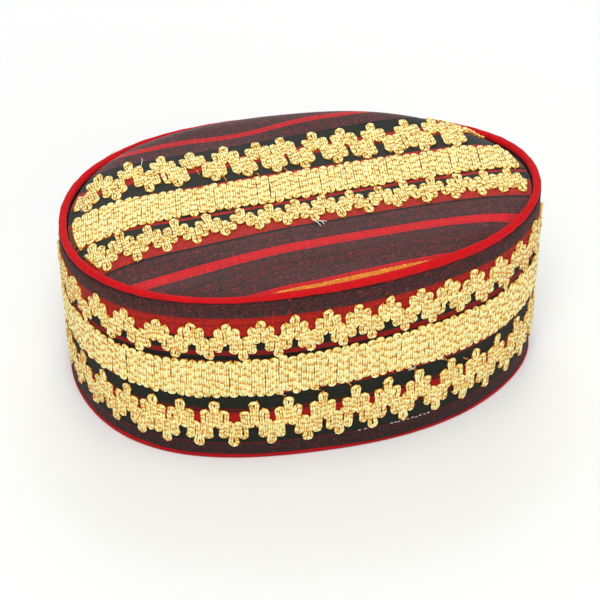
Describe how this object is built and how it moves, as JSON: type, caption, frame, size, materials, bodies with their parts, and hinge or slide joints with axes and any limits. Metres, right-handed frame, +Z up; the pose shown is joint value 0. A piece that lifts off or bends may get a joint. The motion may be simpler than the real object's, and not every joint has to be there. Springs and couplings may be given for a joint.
{
  "type": "peci cap",
  "caption": "Brimless oval cloth cap with a stiff upright wall, a flat crown, red piping and binding, and raised gold zigzag and band embroidery.",
  "frame": {"origin": "middle of the cap's footprint, on the surface that the lower binding rests on", "axes": "+X towards the forehead end, +Y towards the wearer's left, +Z up"},
  "size_m": [0.2216, 0.142, 0.0987],
  "materials": {
    "striped_cloth": "matt woven cotton in dark brown, black and red stripes",
    "red_piping": "soft red cloth over cord",
    "red_binding": "soft red cloth tape",
    "gold_cord": "pale gold cord with a silky sheen"
  },
  "bodies": {
    "root": {"side_band": "striped_cloth", "crown": "striped_cloth", "top_piping": "red_piping", "bottom_binding": "red_binding", "side_gold_band": "gold_cord", "side_zigzag_lower": "gold_cord", "side_zigzag_upper": "gold_cord", "crown_gold_band": "gold_cord", "crown_zigzag_front": "gold_cord", "crown_zigzag_rear": "gold_cord"}
  },
  "joints": []
}
